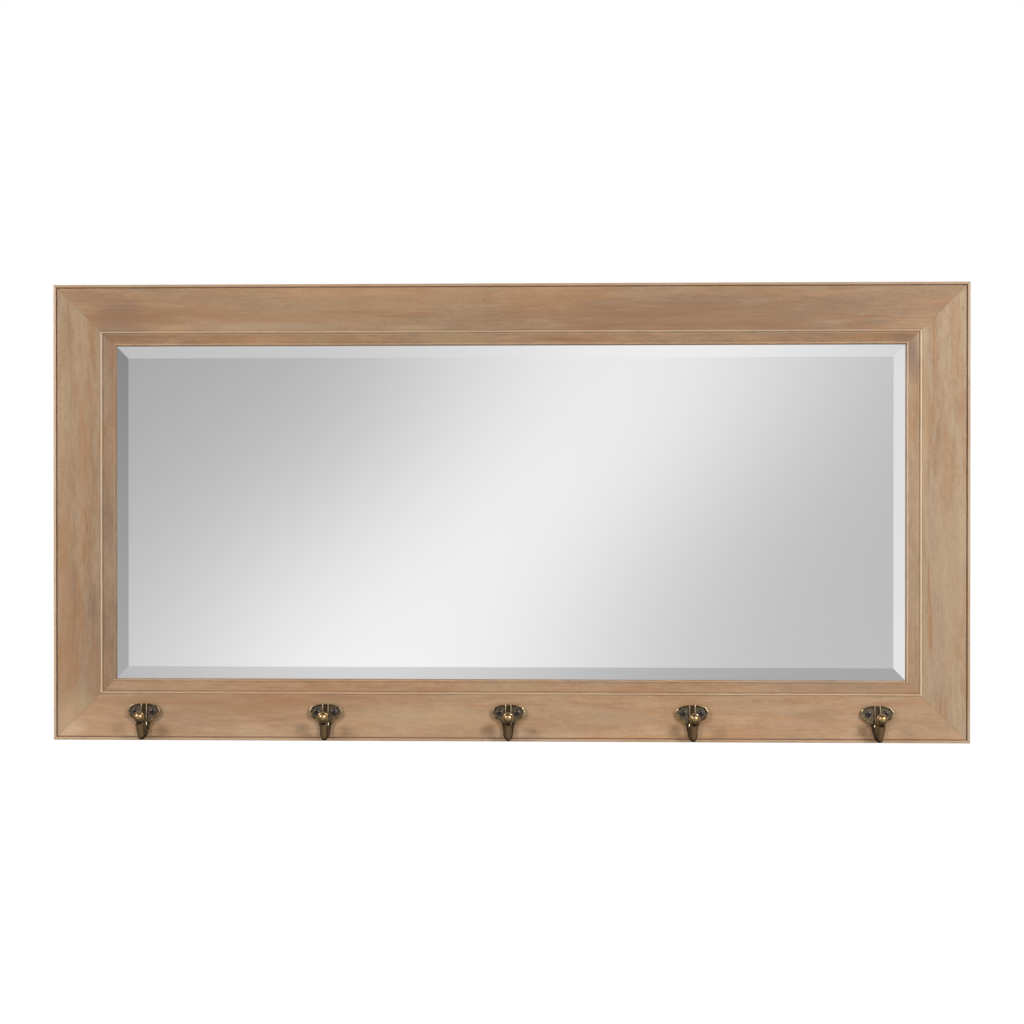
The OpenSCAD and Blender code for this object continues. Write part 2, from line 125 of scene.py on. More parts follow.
class WoodColours(bpy.types.PropertyGroup):
    """Colours of the washed wood"""

    tan: colour("Tan", "Main colour of the wood", (172, 137, 104))
    honey: colour("Honey", "Warm streaks where the wash is thin", (177, 135, 96))
    wash: colour("Wash", "Cool streaks where the wash lies thick", (176, 150, 121))
    russet: colour("Russet", "Reddish streaks in the grain", (169, 124, 88))
    sapwood: colour("Sapwood", "Pale yellowish band beside the bead", (180, 153, 117))
    knot: colour("Knot", "Brown of the small knots", (142, 104, 72))
    # the smoke colour also paints shade under the bead at the top right corner
    smoke_and_shade: colour("Smoke", "Greyish darkened patches", (124, 97, 80))
    # the stain colour also paints shade in the quirk and beside the nosing
    stain_and_shade: colour("Stain", "Stain that stays in the grooves", (104, 76, 56))
    # the rubbed colour is also painted as highlight on the lit edges and as light in the groove and quirk
    rubbed: colour("Rubbed", "Edges where the wash is rubbed back", (224, 196, 166))
    bare: colour("Bare wood", "Unfinished wood at the back", (203, 176, 138))


class HookSettings(bpy.types.PropertyGroup):
    """Place, casting and patina of the hooks"""

    seat: length("Seat", "Height of the plates' backs above the frame's back, at the screws", 24.34 * MM)
    line: length("Line", "Height of the screws above the lower edge of the frame", 28.7 * MM)
    tilt: angle("Tilt", "How far the plates lean back with the moulding", math.radians(6.73))
    grain: length("Casting grain", "Size of the faces that the casting is drawn with", 0.32 * MM)
    soften: IntProperty(name="Soften", description="How often its edges are softened", default=5, min=0)
    ball_out: length("Ball reach", "Distance from the plate's back to the ball's middle", 24.43 * MM)
    ball_up: length("Ball height", "Height of the middle of the ball above the screws", -5.37 * MM)
    ball_round: length("Ball radius", "Radius of the ball", 5.5 * MM)
    reed: length("Reeds", "Distance from the middle of the strap to each reed, at its top", 2.8 * MM)
    spread: number("Spread", "How far the reeds spread over their height", 0.027)
    plate_top: length("Plate top", "Height of the plate above the screws", 7.9 * MM)
    screw_out: length("Screw spacing", "Distance from the middle of a hook to each of its screws", 8.7 * MM)
    pitch: length("Hook spacing", "Distance between the hooks", 183 * MM)
    # the gilt colour is also painted as glints on the plate's upper corners and as highlight on the reeds
    gilt_and_glint: colour("Gilt", "Edges that are rubbed to bright metal", (238, 218, 180))
    brass: colour("Brass", "Rubbed brass of the ball", (190, 156, 102))
    olive: colour("Olive", "Half-rubbed brass on the arm", (182, 148, 108))
    patina: colour("Patina", "Grey-green patina in the field of the plate", (128, 117, 98))
    # the umber colour also darkens the plate's foot as painted shade
    umber: colour("Umber", "Brown patina of the rim and the stem", (84, 64, 42))
    # the recess colour also paints shade at the neck under the ball and in the stem, and darkens the
    # screws' middles
    recess: colour("Recess", "Nearly black patina in the corners", (44, 34, 27))
    screw: colour("Screw", "Blackened steel of the screws", (96, 87, 82))


class GlassSettings(bpy.types.PropertyGroup):
    """Finish of the mirror glass"""

    silver: colour("Silver", "Colour of the silvering seen through the glass", (249, 249, 249))
    polish: number("Polish", "Roughness of the polished glass", 0.012, min=0, max=1)


class BackColours(bpy.types.PropertyGroup):
    """Colours of the board, the fasteners and the bumpers"""

    board: colour("Hardboard", "Backing board", (118, 84, 56))
    zinc: colour("Zinc", "Plated steel of the hangers, tabs and nails", (206, 205, 200))
    rubber: colour("Rubber", "Wall bumpers", (44, 42, 40))


class StudioSettings(bpy.types.PropertyGroup):
    """Camera, lamps and floor"""

    eye: FloatVectorProperty(
        name="Camera", description="Place of the camera", default=(0.018, -1.7, -0.1924),
        subtype="TRANSLATION",
    )
    yaw: angle("Yaw", "Turn to the left", 0.0299)
    pitch: angle("Pitch", "Tilt upwards", -0.004)
    lens: number("Lens", "Focal length in millimetres", 58.96, min=1)
    shift: FloatVectorProperty(
        name="Shift", description="Shift of the lens", default=(0.035, -0.0023), size=2
    )
    floor_drop: length("Floor drop", "Height of the frame above the floor", 0.75)
    floor_size: length("Floor size", "Length of the floor's sides", 24)
    floor_tone: number("Floor tone", "Lightness of the floor", 0.82, min=0, max=1)
    floor_glow: number("Floor glow", "Light that the camera sees in the floor", 0.86, min=0)
    front_power: watts("Front lamp", "Power of the wide lamp in front", 3.5)
    side_power: watts("Side lamp", "Power of the wide lamp at the left", 13.0)
    key_power: watts("Key lamp", "Power of the lamp at the right", 18.6)
    fill_power: watts("Fill lamp", "Power of the lamp at the left", 18.0)
    rear_power: watts("Rear lamp", "Power of the lamp behind", 16.0)
    ambient: number("Ambient", "Strength of the light from all round", 0.2, min=0)


# How each rail looks.
# along: axis of the rail, 0 for X and 2 for Z
# edge: place of its outer edge on the other axis
# seed: which piece of the noises it is cut from
# tone, inner, drift: lightness outside and inside the bead, partly the boards' own tone and partly painted
# light and shade for how each side faces the light, and how much it changes along the rail
# cover: how thick the wash lies
# warm, pale: distance of the reddish band from the edge, and strength of the sapwood beside the bead
# groove, quirk: lines beside the lip and the bead, from -1, painted lighter against their own shade, to 1,
# painted darker as shade
# lip, crest, nosing: how far those edges are lightened, partly as rubbed-back wash and partly as painted
# highlight, set per side by how each edge catches the light
# marks: patches, laid over one another: place along the rail from its middle, place in from the edge,
#     half length, half width, strength and colour, with the lengths in millimetres
RAILS = {
    "top_rail": {
        "along": 0, "edge": FRAME_HIGH.z, "seed": 3.1,
        "tone": 0.83, "inner": 0.94, "drift": 0.3, "cover": 0.4, "warm": 33, "pale": 0.15,
        "groove": -0.35, "quirk": -0.35, "lip": 0.16, "crest": 0.36, "nosing": 0.12,
        "marks": (
            (-390, 25, 30, 15, 0.55, "smoke_and_shade"), (-418, 31, 22, 10, 0.45, "knot"),
            (-330, 31, 80, 10, 0.36, "knot"), (-230, 34, 120, 7, 0.4, "russet"),
            (-170, 18, 160, 34, 0.14, "sapwood"), (-380, 36, 60, 12, 0.6, "knot"),
            (100, 34, 80, 11, 0.3, "knot"), (240, 24, 200, 32, 0.2, "smoke_and_shade"),
            (170, 33, 180, 16, 0.6, "knot"), (-270, 42, 110, 5, 0.5, "wash"),
            (190, 36, 90, 4, 0.3, "russet"), (-60, 54.5, 50, 7, 0.55, "sapwood"),
            (-196, 54.5, 24, 6, 0.35, "sapwood"), (-95, 43.5, 34, 4.5, 0.45, "sapwood"),
            (240, 44, 220, 6, 0.42, "knot"), (-390, 43, 40, 7, 0.5, "smoke_and_shade"),
            (-415, 15, 36, 8, 0.4, "smoke_and_shade"), (-305, 43, 24, 5, 0.3, "smoke_and_shade"),
            # the smoke patch 395 along and 54.5 in is painted shade under the bead at the top right corner
            (85, 44, 64, 5, 0.3, "smoke_and_shade"), (395, 54.5, 20, 6, 0.5, "smoke_and_shade"),
            (48, 54.8, 30, 3.4, 0.9, "russet"), (48, 55, 27, 2.8, 0.5, "knot"),
            (-160, 28, 50, 1.8, 0.45, "knot"), (-100, 32, 46, 1.8, 0.5, "knot"),
            (-40, 37, 46, 2, 0.5, "knot"), (141, 34, 9, 3.4, 0.6, "knot"),
            (-400, 51, 60, 5, 0.45, "knot"),
        ),
    },
    "bottom_rail": {
        "along": 0, "edge": FRAME_LOW.z, "seed": 7.7,
        "tone": 1.05, "inner": 0.885, "drift": 0.12, "cover": 0.5, "warm": 41, "pale": 0.2,
        "groove": -0.6, "quirk": 0.14, "lip": 0.16, "crest": 0.4, "nosing": 0.3,
        "marks": (
            (-64, 51.5, 22, 1.6, 0.4, "knot"), (-130, 44, 110, 8, 0.6, "russet"),
            (-290, 30, 130, 30, 0.4, "knot"), (-90, 22, 90, 9, 0.6, "sapwood"),
            (-260, 37, 110, 8, 0.3, "russet"), (-355, 38, 60, 9, 0.5, "russet"),
            (270, 33, 90, 7, 0.4, "wash"), (-420, 24, 44, 24, 0.6, "honey"),
            (-440, 12, 20, 11, 0.35, "rubbed"), (0, 54.5, 60, 6, 0.35, "sapwood"),
            (334, 54, 60, 7, 0.35, "smoke_and_shade"), (-170, 42, 40, 5, 0.4, "knot"),
            (110, 25, 44, 9, 0.35, "wash"), (305, 26, 32, 8, 0.25, "smoke_and_shade"),
            (70, 11.5, 90, 5, 0.3, "russet"),
        ),
    },
    "left_stile": {
        "along": 2, "edge": FRAME_LOW.x, "seed": 12.4,
        "tone": 0.865, "inner": 0.785, "drift": 0.2, "cover": 0.7, "warm": 40, "pale": 0.3,
        "groove": -0.12, "quirk": -0.15, "lip": 0.55, "crest": 0.78, "nosing": 0.1,
        "marks": (
            (-3, 31, 10, 1.1, 0.75, "knot"), (-15, 32.6, 8, 0.9, 0.75, "knot"),
            (-90, 15, 60, 9, 0.2, "smoke_and_shade"), (-125, 38, 80, 20, 0.22, "smoke_and_shade"),
            (-95, 10, 150, 8, 0.5, "russet"), (-88, 39, 26, 5, 0.35, "smoke_and_shade"),
            (-205, 31, 45, 11, 0.35, "wash"), (50, 30, 70, 8, 0.2, "russet"),
            (140, 55, 50, 6, 0.25, "smoke_and_shade"), (-160, 18, 18, 8, 0.3, "russet"),
            (-212, 20, 36, 24, 0.95, "sapwood"), (-214, 16, 36, 18, 0.5, "honey"),
            (-214, 12, 26, 12, 0.2, "rubbed"),
        ),
    },
    "right_stile": {
        "along": 2, "edge": FRAME_HIGH.x, "seed": 18.9,
        "tone": 0.975, "inner": 0.985, "drift": 0.02, "cover": 1.0, "warm": 36, "pale": 0.4,
        "groove": 0.0, "quirk": -0.2, "lip": 0.2, "crest": 0.9, "nosing": 0.75,
        "marks": (
            (-60, 20, 110, 20, 0.4, "wash"), (120, 44, 60, 4, 0.4, "sapwood"),
            (170, 12, 46, 5, 0.45, "russet"), (40, 24, 60, 3, 0.35, "russet"),
            # this smoke patch is painted shade on the inner slope under the bead at the top right corner
            (160, 55, 34, 8, 0.75, "smoke_and_shade"),
        ),
    },
}


# ---------- shader maths ----------


class Wire:
    """An output socket. Arithmetic on it adds Math nodes."""

    def __init__(self, recipe, socket):
        self.recipe, self.socket = recipe, socket

    def out(self, name):
        """Another output of the same node."""
        outputs = self.socket.node.outputs
        return Wire(self.recipe, next(s for s in outputs if name in (s.identifier, s.name)))

    def __add__(self, other):
        return self.recipe.maths("ADD", self, other)

    def __sub__(self, other):
        return self.recipe.maths("SUBTRACT", self, other)

    def __rsub__(self, other):
        return self.recipe.maths("SUBTRACT", other, self)

    def __mul__(self, other):
        return self.recipe.maths("MULTIPLY", self, other)

    def __truediv__(self, other):
        return self.recipe.maths("DIVIDE", self, other)

    def __pow__(self, other):
        return self.recipe.maths("POWER", self, other)

    def __abs__(self):
        return self.recipe.maths("ABSOLUTE", self)

    __radd__, __rmul__ = __add__, __mul__

    def sway(self, amount):
        """Noise of 0 to 1 as a change by up to half the amount either way."""
        return (self - 0.5) * amount


class Recipe:
    """The node tree of a material or of the world."""

    def __init__(self, owner):
        owner.use_nodes = True
        self.tree = owner.node_tree
        self.tree.nodes.clear()

    def node(self, kind, settings=None, *ordered, **named):
        """Adds a node: its settings first, then the values or links of its sockets, by order or by name."""
        made = self.tree.nodes.new(kind)
        for name, value in (settings or {}).items():
            setattr(made, name, value)
        filled = list(zip(made.inputs, ordered))
        for name, value in named.items():
            wanted = (name, name.replace("_", " "))
            socket = next(s for s in made.inputs if s.identifier in wanted or s.name in wanted)
            filled.append((socket, value))
        for socket, value in filled:
            if isinstance(value, Wire):
                self.tree.links.new(value.socket, socket)
            elif hasattr(value, "__len__"):
                socket.default_value = (*value, 1)[: len(socket.default_value)]
            else:
                socket.default_value = value
        return Wire(self, made.outputs[0]) if made.outputs else None

    def maths(self, operation, *terms):
        """A Math node."""
        return self.node("ShaderNodeMath", {"operation": operation}, *terms)

    def scale(self, vector, amount):
        """A vector made longer or shorter, or a colour made lighter or darker."""
        return self.node("ShaderNodeVectorMath", {"operation": "SCALE"}, vector, Scale=amount)

    def split(self, vector):
        """The X, Y and Z of a vector."""
        parts = self.node("ShaderNodeSeparateXYZ", None, vector)
        return parts.out("X"), parts.out("Y"), parts.out("Z")

    def place(self):
        """The object's own coordinates, in millimetres."""
        return self.scale(self.node("ShaderNodeTexCoord").out("Object"), 1 / MM)

    def noise(self, x, y, z, detail=2.0, roughness=0.5, distortion=0.0):
        """Soft noise, 0 to 1, from three coordinates that are already divided by the size of its lumps."""
        spot = self.node("ShaderNodeCombineXYZ", None, x, y, z)
        return self.node(
            "ShaderNodeTexNoise", None, Vector=spot, Scale=1.0, Detail=detail, Roughness=roughness,
            Distortion=distortion,
        )

    def rise(self, value, low, high):
        """0 below low and 1 above high, with a smooth rise between."""
        return self.node(
            "ShaderNodeMapRange", {"interpolation_type": "SMOOTHSTEP"},
            Value=value, From_Min=low, From_Max=high,
        )

    def fall(self, value, low, high):
        """1 below low and 0 above high, with a smooth fall between."""
        return 1 - self.rise(value, low, high)

    def band(self, value, centre, half, soft):
        """1 within half of the centre, falling to 0 over the soft width outside it."""
        return self.fall(abs(value - centre), half, half + soft)

    def mix(self, factor, low, high):
        """From the first colour to the second."""
        return self.node(
            "ShaderNodeMix", {"data_type": "RGBA"}, Factor_Float=factor, A_Color=low, B_Color=high
        ).out("Result_Color")

    def bump(self, height, depth):
        """A normal bent by a height of 0 to 1 that stands for a depth in metres."""
        return self.node("ShaderNodeBump", None, Strength=1.0, Distance=depth, Height=height)

    def surface(self, **sockets):
        """Ends the material with one shader."""
        made = self.node("ShaderNodeBsdfPrincipled", None, **sockets)
        self.node("ShaderNodeOutputMaterial", None, made)


def material(name):
    """A new material, and the recipe that fills it."""
    made = bpy.data.materials.new(name)
    return made, Recipe(made)


def dress(node_name, finish):
    """Gives a CAD node, which comes with one slot, its material."""
    NODES[node_name].material_slots[0].material = finish


# ---------- finishes ----------


def rail_place(r, look):
    """Along a rail from its middle, in from its outer edge and out from its back, in millimetres."""
    x, y, z = r.split(r.place())
    across, along = (z, x) if look["along"] == 0 else (x, z)
    inward = 1 if look["edge"] < MIDDLE[2 - look["along"]] else -1
    return along - MIDDLE[look["along"]] / MM, (across - look["edge"] / MM) * inward, y * -1


def washed_wood(name, sizes, colours, look):
    """Washed wood for one rail, whose grain follows the rail."""
    made, r = material(name)
    run, u, v = rail_place(r, look)
    half = (FRAME_HIGH[look["along"]] - FRAME_LOW[look["along"]]) / 2 / MM
    lip_edge, groove_half = sizes.lip / MM, sizes.groove / 2 / MM
    bead, bead_half, sight = sizes.bead / MM, sizes.bead_half / MM, sizes.sight / MM
    seed = look["seed"]

    def over(height, soft):
        """1 on what stands higher above the back than a height, and 0 on what lies lower."""
        return r.rise(v, height / MM - soft, height / MM + soft)

    # the lumps of each noise are so many millimetres long, wide and deep
    cloud = r.noise(run / 150 + seed, u / 22, v / 40, detail=2.0, roughness=0.5, distortion=0.3)
    wash = r.noise(run / 80 + seed * 3, u / 14, v / 30 + seed, detail=3.0, roughness=0.55, distortion=0.4)
    streak = r.noise(run / 110 + seed * 5, u / 4.6, v / 12, detail=3.0, roughness=0.6, distortion=0.25)
    thread = r.noise(run / 38 + seed * 9, u / 1.5, v / 3, detail=3.0, roughness=0.6)
    fibre = r.noise(run / 13 + seed * 7, u / 0.8, v / 0.9, detail=2.0, roughness=0.6)
    mottle = r.noise(run / 20 + seed * 11, u / 6, v / 8, detail=4.0, roughness=0.9)
    hatch = r.noise(run / 1.6 + seed * 13, u / 3, v / 4, detail=1.0)
    saw = r.noise(run / 1.3, u / 14, seed, detail=1.0)

    # the wood and the wash on it
    inner = r.rise(u, bead + 1, bead + 2)
    face = 1 - inner
    warm = r.band(u + cloud.sway(26), look["warm"], 4, 9) * face
    pale = r.band(u + cloud.sway(8), bead - 3, 1.6, 4) * face * look["pale"]
    by_lip = r.fall(u, 5, 15) * face
    tint = r.mix(r.rise(cloud, 0.4, 0.62), colours.tan, colours.honey)
    thick = r.rise(wash + mottle.sway(0.7) + look["cover"] * 0.2, 0.46, 0.76)
    tint = r.mix(thick * (1 - inner * 0.4) * look["cover"], tint, colours.wash)
    tint = r.mix(r.rise(streak, 0.5, 0.7) * (0.3 + warm * 0.7), tint, colours.russet)
    tint = r.mix(pale * (0.4 + streak * 0.6), tint, colours.sapwood)
    light = 1 + streak.sway(0.3) + thread.sway(0.3) + fibre.sway(0.3) + wash.sway(0.3)
    light = light + mottle.sway(0.46 + inner * 0.3) + cloud.sway(look["drift"])
    light = light + hatch.sway(0.2) + by_lip * 0.05 - warm * 0.07
    # the lightness per rail outside and inside the bead is partly the boards' own tone and partly painted
    # light and shade for how each side faces the light
    tint = r.scale(tint, light * (look["tone"] * face + look["inner"] * inner))

    # patches with ragged edges
    for place, depth, long, wide, strength, kind in look["marks"]:
        gap = ((run - place) / long) ** 2 + ((u - depth) / wide) ** 2
        ragged = gap + wash.sway(1.6) + thread.sway(0.8)
        tint = r.mix(r.fall(ragged, -0.2, 1.2) * strength, tint, getattr(colours, kind))

    # edges lightened, partly as rubbed-back wash and partly as painted highlight, and the groove and quirk
    # painted lighter against their shade
    lip = r.fall(u, lip_edge - 0.2, lip_edge) * over(sizes.lip_rise, 0.6)
    crest = r.band(u, bead - 0.1, 0.42, 0.5) * over(sizes.bead_rise, 0.6)
    nosing = r.band(u, sight - 0.75, 0.3, 0.4) * over(sizes.sight_rise, 0.5)
    in_groove = r.band(u, lip_edge + groove_half, groove_half + 0.05, 0.25) * over(sizes.groove_rise, 1)
    in_quirk = r.band(u, bead + bead_half + 0.3, 0.6, 0.5)
    worn_and_lit = (crest * look["crest"] + lip * look["lip"] + nosing * look["nosing"]) * (0.75 + fibre * 0.5)
    # painted light: where their settings are below 0, the groove and quirk are lifted towards the pale
    # colour
    filled = in_groove * max(-look["groove"], 0) + in_quirk * max(-look["quirk"], 0)
    tint = r.mix(worn_and_lit + filled, tint, colours.rubbed)

    # dark lines: painted shade in the quirk and beside the nosing, and in the groove where its setting is
    # above 0, and stain in the mitres
    front = r.rise(v, 5, 9)
    by_nosing = r.band(u, sight - 2, 0.25, 0.4)
    mitre = r.band(half - abs(run) - u, 0, sizes.mitre / MM / 2, 0.25)
    # painted shade: the quirk where its setting is above 0 and the line beside the nosing stand in for
    # shadow; the mitre line is stain
    shade_and_stain_lines = (in_quirk * max(look["quirk"], 0) + by_nosing * 0.1 + mitre * 0.28) * front
    shade_and_stain_lines = shade_and_stain_lines + in_groove * max(look["groove"], 0)
    tint = r.mix(shade_and_stain_lines, tint, colours.stain_and_shade)

    # the sawn back, which has no finish
    bare = r.mix(r.rise(cloud, 0.35, 0.65) * 0.35, colours.bare, colours.tan)
    bare = r.scale(bare, 0.9 + saw * 0.12 + streak.sway(0.7) + fibre.sway(0.2))
    behind = r.fall(v, 0.15, 0.5)
    tint = r.mix(behind, tint, r.mix(mitre * 0.6, bare, colours.stain_and_shade))

    r.surface(
        Base_Color=tint,
        Roughness=0.52 + r.fall(wash, 0.3, 0.7) * 0.08 + behind * 0.2 - worn_and_lit * 0.1,
        Normal=r.bump(fibre * 0.5 + thread * 0.3 + saw * behind * 0.6, 0.12 * MM),
    )
    return made


def silvered_glass(settings):
    """Silvered glass with a polished bevel."""
    made, r = material("silvered_glass")
    x, y, z = r.split(r.place())
    haze = r.noise(x / 90, y / 90, z / 60, detail=3.0, roughness=0.6)
    r.surface(
        Base_Color=settings.silver,
        Metallic=1.0,
        Roughness=settings.polish + r.rise(haze, 0.5, 0.9) * 0.012,
    )
    return made


def hardboard(colours):
    """Brown hardboard with loose fibres."""
    made, r = material("hardboard")
    x, y, z = r.split(r.place())
    lump = r.noise(x / 38, y, z / 38, detail=3.0, roughness=0.6)
    fibres = r.noise(x / 1.6, y, z / 0.7, detail=4.0, roughness=0.7, distortion=1.6)
    fleck = r.rise(r.noise(x / 2.4 + 9, y, z / 1.1, detail=2.0, roughness=0.6, distortion=2.0), 0.66, 0.76)
    cloudy = r.noise(x / 9 + 4, y, z / 6, detail=4.0, roughness=0.75, distortion=0.6)
    tint = r.scale(colours.board, 0.72 + lump.sway(0.5) + cloudy.sway(0.7) + fibres * 0.56)
    tint = r.mix(fleck * 0.4, tint, colours.rubber)
    r.surface(Base_Color=tint, Roughness=0.66 + fibres * 0.16, Normal=r.bump(fibres, 0.2 * MM))
    return made


def zinc_plate(colours):
    """Bright zinc plating, with a faint bloom."""
    made, r = material("zinc_plate")
    x, y, z = r.split(r.place())
    bloom = r.noise(x / 5, y / 5, z / 5, detail=3.0, roughness=0.6, distortion=0.5)
    brush = r.noise(x / 0.25, y / 3, z / 3, detail=2.0, roughness=0.6)
    r.surface(
        Base_Color=r.scale(colours.zinc, 0.78 + bloom * 0.32),
        Metallic=0.95,
        Roughness=0.24 + bloom * 0.16 + brush * 0.08,
        Normal=r.bump(brush * 0.4 + bloom * 0.6, 0.03 * MM),
    )
    return made


def bumper_rubber(colours):
    """Matt rubber with a little dust."""
    made, r = material("bumper_rubber")
    x, y, z = r.split(r.place())
    dust = r.noise(x / 1.2, y / 1.2, z / 1.2, detail=4.0, roughness=0.65)
    tint = r.scale(colours.rubber, 0.8 + r.rise(dust, 0.45, 0.75) * 0.9)
    r.surface(Base_Color=tint, Roughness=0.7 + dust * 0.2, Normal=r.bump(dust, 0.05 * MM))
    return made


def tilted_place(r, settings):
    """Across, out of the plate and up from between the screws of the nearest hook, in millimetres."""
    x, y, z = r.split(r.place())
    pitch = settings.pitch / MM
    across = r.maths("WRAP", x, pitch / 2, -pitch / 2)
    y, z = y + settings.seat / MM, z - (FRAME_LOW.z + settings.line) / MM
    cos, sin = math.cos(settings.tilt), math.sin(settings.tilt)
    return across, z * sin - y * cos, z * cos + y * sin


def black_screw(settings):
    """Blackened steel, rubbed grey where a driver has turned it, and darker in and round the cross."""
    made, r = material("black_screw")
    across, out, up = tilted_place(r, settings)
    side = abs(across) - settings.screw_out / MM
    spots = r.noise(across / 0.8, out / 0.8, up / 0.8, detail=4.0, roughness=0.65)
    from_axis = (side**2 + up**2) ** 0.5
    # the cross reaches 2 mm from the screw's axis and lies below the top of its head
    cross = r.fall(from_axis, 1.9, 2.1) * r.fall(out, 3.5, 3.8)
    # the head darkens towards its middle, with a ragged edge
    dark_middle = r.fall(from_axis + spots.sway(1.2), 0.5, 1.5)
    rim = r.rise(from_axis, 2.9, 3.3)
    tint = r.scale(settings.screw, 0.5 + r.rise(spots, 0.35, 0.7) * 0.75 - rim * 0.3)
    tint = r.mix(cross + (1 - cross) * dark_middle * 0.6, tint, settings.recess)
    r.surface(
        Base_Color=tint,
        Metallic=0.9,
        Roughness=0.32 + spots * 0.2 + cross * 0.3,
        Normal=r.bump(spots, 0.04 * MM),
    )
    return made


def antique_brass(settings):
    """Cast brass with a dark patina, rubbed bright on the ball and every edge. The reeds are partly rubbed
    and partly a painted highlight, the plate's upper corners carry painted glints, and the neck, the stem
    and the plate's foot are darkened as painted shade.
    """
    made, r = material("antique_brass")
    # from between the screws, x runs across the plate, out stands off its back and z goes up
    turn = {"rotation_type": "X_AXIS"}
    x, y, z = r.split(r.node("ShaderNodeVectorRotate", turn, Vector=r.place(), Angle=settings.tilt))
    out = y * -1
    edge = r.node("ShaderNodeAttribute", {"attribute_name": "edge"}).out("Fac")
    mottle = r.noise(x / 1.7, y / 1.7, z / 1.7, detail=4.0, roughness=0.65, distortion=0.4)
    grit = r.noise(x / 0.7 + 5, y / 0.7, z / 0.7, detail=3.0, roughness=0.6)
    pits = r.noise(x / 0.4, y / 0.4, z / 0.4, detail=3.0, roughness=0.6)
    brush = r.noise(x / 0.35, y / 3, z / 6, detail=2.0, roughness=0.6)

    # the parts of the casting: the field is the sunk floor of its plate, the glint corners are the plate's
    # upper corners, where glints are painted, the toe is its lower end, and the stem joins it to the arm
    to_ball = (x**2 + (out - settings.ball_out / MM) ** 2 + (z - settings.ball_up / MM) ** 2) ** 0.5
    radius = settings.ball_round / MM
    ball = r.fall(to_ball, radius + 0.15, radius + 0.5)
    neck = r.fall(to_ball, radius + 1.2, radius + 2.6) * (1 - ball)
    plate = r.fall(out, 4.4, 5.0) * r.rise(z, -15, -12)
    field = plate * r.fall(out, 2.5, 3.1) * r.rise(out, 1.2, 1.9)
    fan = abs(x) + (z - settings.plate_top / MM) * settings.spread
    reeds = plate * r.rise(out, 3.7, 4.0) * r.band(fan, settings.reed / MM, 0.3, 0.3)
    arm_front = r.rise(out, 12, 16) * (1 - ball) * (1 - neck)
    toe = plate * r.fall(z, -12, -8)
    stem = r.fall(z, -14, -10) * r.fall(out, 9, 14)
    glint_corners = plate * r.rise(abs(x), 6, 10) * r.rise(z, -4, 0) * r.fall(z, 5, 7.5)

    # the patina, where hands and loops have rubbed it off, and painted glints, highlights and shade
    tint = r.mix(mottle, settings.umber, settings.recess)
    tint = r.mix(field * r.rise(grit, 0.3, 0.7) * 0.9, tint, settings.patina)
    worn_arm = arm_front * (0.85 + brush.sway(0.8)) * (1 - r.rise(abs(x), 2.4, 3.9) * 0.6)
    tint = r.mix(worn_arm, tint, settings.olive)
    tint = r.mix(ball * (0.8 + mottle.sway(0.5)), tint, settings.brass)
    rubbed = r.rise(edge + mottle.sway(0.3), 0.78, 0.97) * (1 - ball) * (1 - stem * 0.6)
    tint = r.mix(rubbed * 0.6, tint, settings.brass)
    # painted glints: the plate's upper corners are painted bright where they catch the lamps
    tint = r.mix(rubbed * glint_corners * 0.55, tint, settings.gilt_and_glint)
    # the reeds are partly rubbed and partly a painted highlight
    tint = r.mix(reeds * 0.75, tint, settings.gilt_and_glint)
    # painted shade: the plate's foot, where the strap bends away, is painted darker
    tint = r.mix(toe * (1 - reeds) * 0.7, tint, settings.umber)
    # patina in the hollows, and painted shade at the neck under the ball and partly in the stem
    patina_and_shade = r.fall(edge, 0.12, 0.36) * (1 - ball) + neck * 0.9 + stem * 0.25
    tint = r.mix(patina_and_shade * 0.8, tint, settings.recess)
    tint = r.scale(tint, 0.86 + pits * 0.28)
    polished = ball * 0.14 + reeds * 0.24 + rubbed * glint_corners * 0.22
    r.surface(
        Base_Color=tint,
        Metallic=0.92,
        Coat_Weight=ball,
        Coat_Roughness=0.18,
        Roughness=0.46 - polished + toe * (1 - reeds) * 0.3 + pits * 0.06,
        Normal=r.bump(pits * 0.5 + mottle * 0.5, 0.06 * MM),
    )
    return made


# ---------- pieces ----------


def hook_seat(settings, node_name):
    """Where a hook sits: its origin is between the screws, on the back of its plate."""
    low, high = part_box(node_name)
    return Matrix.Translation(((low.x + high.x) / 2, -settings.seat, FRAME_LOW.z + settings.line))


def edge_map(mesh, rounds):
    """Writes how far each point stands out from what is round it: 0 in a corner, 0.5 flat, 1 on an edge."""
    count = len(mesh.vertices)
    points, normals = np.empty(count * 3), np.empty(count * 3)
    mesh.vertices.foreach_get("co", points)
    mesh.vertex_normals.foreach_get("vector", normals)
    pairs = np.empty(len(mesh.edges) * 2, np.int32)
    mesh.edges.foreach_get("vertices", pairs)
    points, normals, pairs = points.reshape(-1, 3), normals.reshape(-1, 3), pairs.reshape(-1, 2)
    share = np.bincount(pairs.ravel(), minlength=count).clip(1)

    def neighbours(values):
        """The mean of each point's neighbours."""
        total = np.zeros_like(values)
        np.add.at(total, pairs[:, 0], values[pairs[:, 1]])
        np.add.at(total, pairs[:, 1], values[pairs[:, 0]])
        return total / share.reshape(-1, *[1] * (values.ndim - 1))

    soft = points.copy()
    for _ in range(rounds):
        soft = neighbours(soft)
    stand = ((points - soft) * normals).sum(1)
    stand = (stand + neighbours(stand)) / 2
    # all but the sharpest few in a hundred lie within this
    most = np.percentile(np.abs(stand), 96)
    attribute = mesh.attributes.new("edge", "FLOAT", "POINT")
    attribute.data.foreach_set("value", (0.5 + stand / most / 2).clip(0, 1).astype(np.float32))


